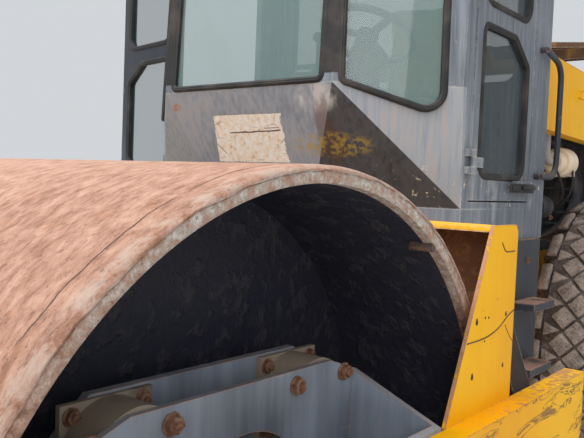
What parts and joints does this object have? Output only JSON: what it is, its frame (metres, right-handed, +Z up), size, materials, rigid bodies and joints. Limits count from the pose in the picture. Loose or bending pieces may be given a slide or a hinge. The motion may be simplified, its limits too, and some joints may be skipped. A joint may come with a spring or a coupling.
{
  "type": "single-drum road roller",
  "caption": "Articulated single-drum road roller with a closed cab, two rear tyres and an open engine lid.",
  "frame": {"origin": "on the ground under the middle of the drum axle", "axes": "+X to the driver's left, +Y to the rear of the machine, +Z up"},
  "size_m": [2.4038, 5.495, 2.96],
  "materials": {
    "frame_yellow": "satin",
    "cab_grey": "satin",
    "bracket_grey": "satin",
    "drum_steel": "matte",
    "rubber_black": "matte",
    "tyre_rubber": "matte",
    "window_glass": "gloss",
    "seat_vinyl": "satin",
    "dark_plastic": "matte",
    "lid_shell": "satin",
    "bare_steel": "satin",
    "engine_cast": "matte"
  },
  "bodies": {
    "rear_frame": {"rear_chassis": "frame_yellow", "cab_deck": "bracket_grey", "rear_axle": "bracket_grey", "side_tanks": "bracket_grey", "steps": "bracket_grey", "cab_nose": "cab_grey", "cab_frame": "cab_grey", "cab_glass": "window_glass", "cab_base": "cab_grey", "cab_roof": "cab_grey", "door_hinges": "cab_grey", "seat": "seat_vinyl", "steering_column": "dark_plastic", "console": "dark_plastic", "handrails": "bracket_grey", "engine_panels": "frame_yellow", "bay_front_frame": "frame_yellow", "rear_grille": "frame_yellow", "engine": "engine_cast", "radiator": "engine_cast", "air_cleaner": "lid_shell", "air_pipe": "bracket_grey", "exhaust": "bare_steel", "rear_bumper": "frame_yellow", "work_lamps": "dark_plastic"},
    "centre_link": {"centre_link": "frame_yellow"},
    "front_frame": {"side_beam_left": "frame_yellow", "side_beam_right": "frame_yellow", "front_crossmember": "frame_yellow", "rear_crossmember": "frame_yellow", "gussets": "frame_yellow", "drum_bracket_left": "bracket_grey", "drum_bracket_right": "bracket_grey", "drum_mounts": "bracket_grey", "drum_buffers": "rubber_black", "drum_scrapers": "bracket_grey", "steering_clevis": "frame_yellow"},
    "drum": {"drum_shell": "drum_steel", "drum_heads": "drum_steel", "drum_exciter": "drum_steel"},
    "barrel_left": {"steering_barrel_left": "bracket_grey"},
    "barrel_right": {"steering_barrel_right": "bracket_grey"},
    "rod_left": {"steering_rod_left": "bare_steel"},
    "rod_right": {"steering_rod_right": "bare_steel"},
    "wheel_left": {"tyre_left": "tyre_rubber", "rim_left": "frame_yellow"},
    "wheel_right": {"tyre_right": "tyre_rubber", "rim_right": "frame_yellow"},
    "door_left": {"door_left": "cab_grey", "door_glass_left": "window_glass"},
    "door_right": {"door_right": "cab_grey", "door_glass_right": "window_glass"},
    "engine_lid": {"engine_lid": "lid_shell"}
  },
  "joints": [
    {"name": "oscillation", "type": "hinge", "parent": "rear_frame", "child": "centre_link", "pos_m": [0, 1.62, 0.7], "axis": [0, 1, 0], "range_deg": [-8, 8]},
    {"name": "steering", "type": "hinge", "parent": "centre_link", "child": "front_frame", "pos_m": [0, 1.45, 0.7], "axis": [0, 0, 1], "range_deg": [-35, 35]},
    {"name": "drum_spin", "type": "hinge", "parent": "front_frame", "child": "drum", "pos_m": [0, 0, 0.75], "axis": [1, 0, 0], "continuous": true},
    {"name": "wheel_left_spin", "type": "hinge", "parent": "rear_frame", "child": "wheel_left", "pos_m": [0.8, 2.95, 0.72], "axis": [1, 0, 0], "continuous": true},
    {"name": "wheel_right_spin", "type": "hinge", "parent": "rear_frame", "child": "wheel_right", "pos_m": [-0.8, 2.95, 0.72], "axis": [1, 0, 0], "continuous": true},
    {"name": "door_left_swing", "type": "hinge", "parent": "rear_frame", "child": "door_left", "pos_m": [0.753, 1.209, 1.56], "axis": [0, 0, -1], "range_deg": [0, 85]},
    {"name": "door_right_swing", "type": "hinge", "parent": "rear_frame", "child": "door_right", "pos_m": [-0.753, 1.209, 1.56], "axis": [0, 0, 1], "range_deg": [-80, 5]},
    {"name": "engine_lid_swing", "type": "hinge", "parent": "rear_frame", "child": "engine_lid", "pos_m": [0, 1.94, 2.078], "axis": [1, 0, 0], "range_deg": [-12, 30]},
    {"name": "barrel_left_swing", "type": "hinge", "parent": "centre_link", "child": "barrel_left", "pos_m": [0.18, 1.551, 0.7], "axis": [0, 0, 1], "range_deg": [-33, 33]},
    {"name": "rod_left_slide", "type": "slide", "parent": "barrel_left", "child": "rod_left", "axis": [0.1455, -0.9894, 0], "range_m": [-0.13, 0.13]},
    {"name": "barrel_right_swing", "type": "hinge", "parent": "centre_link", "child": "barrel_right", "pos_m": [-0.18, 1.551, 0.7], "axis": [0, 0, 1], "range_deg": [-33, 33]},
    {"name": "rod_right_slide", "type": "slide", "parent": "barrel_right", "child": "rod_right", "axis": [-0.1455, -0.9894, 0], "range_m": [-0.13, 0.13]}
  ],
  "couplings": [
    {"joint": "barrel_left_swing", "follows": "steering", "ratio": 0.8643},
    {"joint": "rod_left_slide", "follows": "steering", "m_per_rad": -0.1879},
    {"joint": "barrel_right_swing", "follows": "steering", "ratio": 0.8643},
    {"joint": "rod_right_slide", "follows": "steering", "m_per_rad": 0.1879}
  ]
}
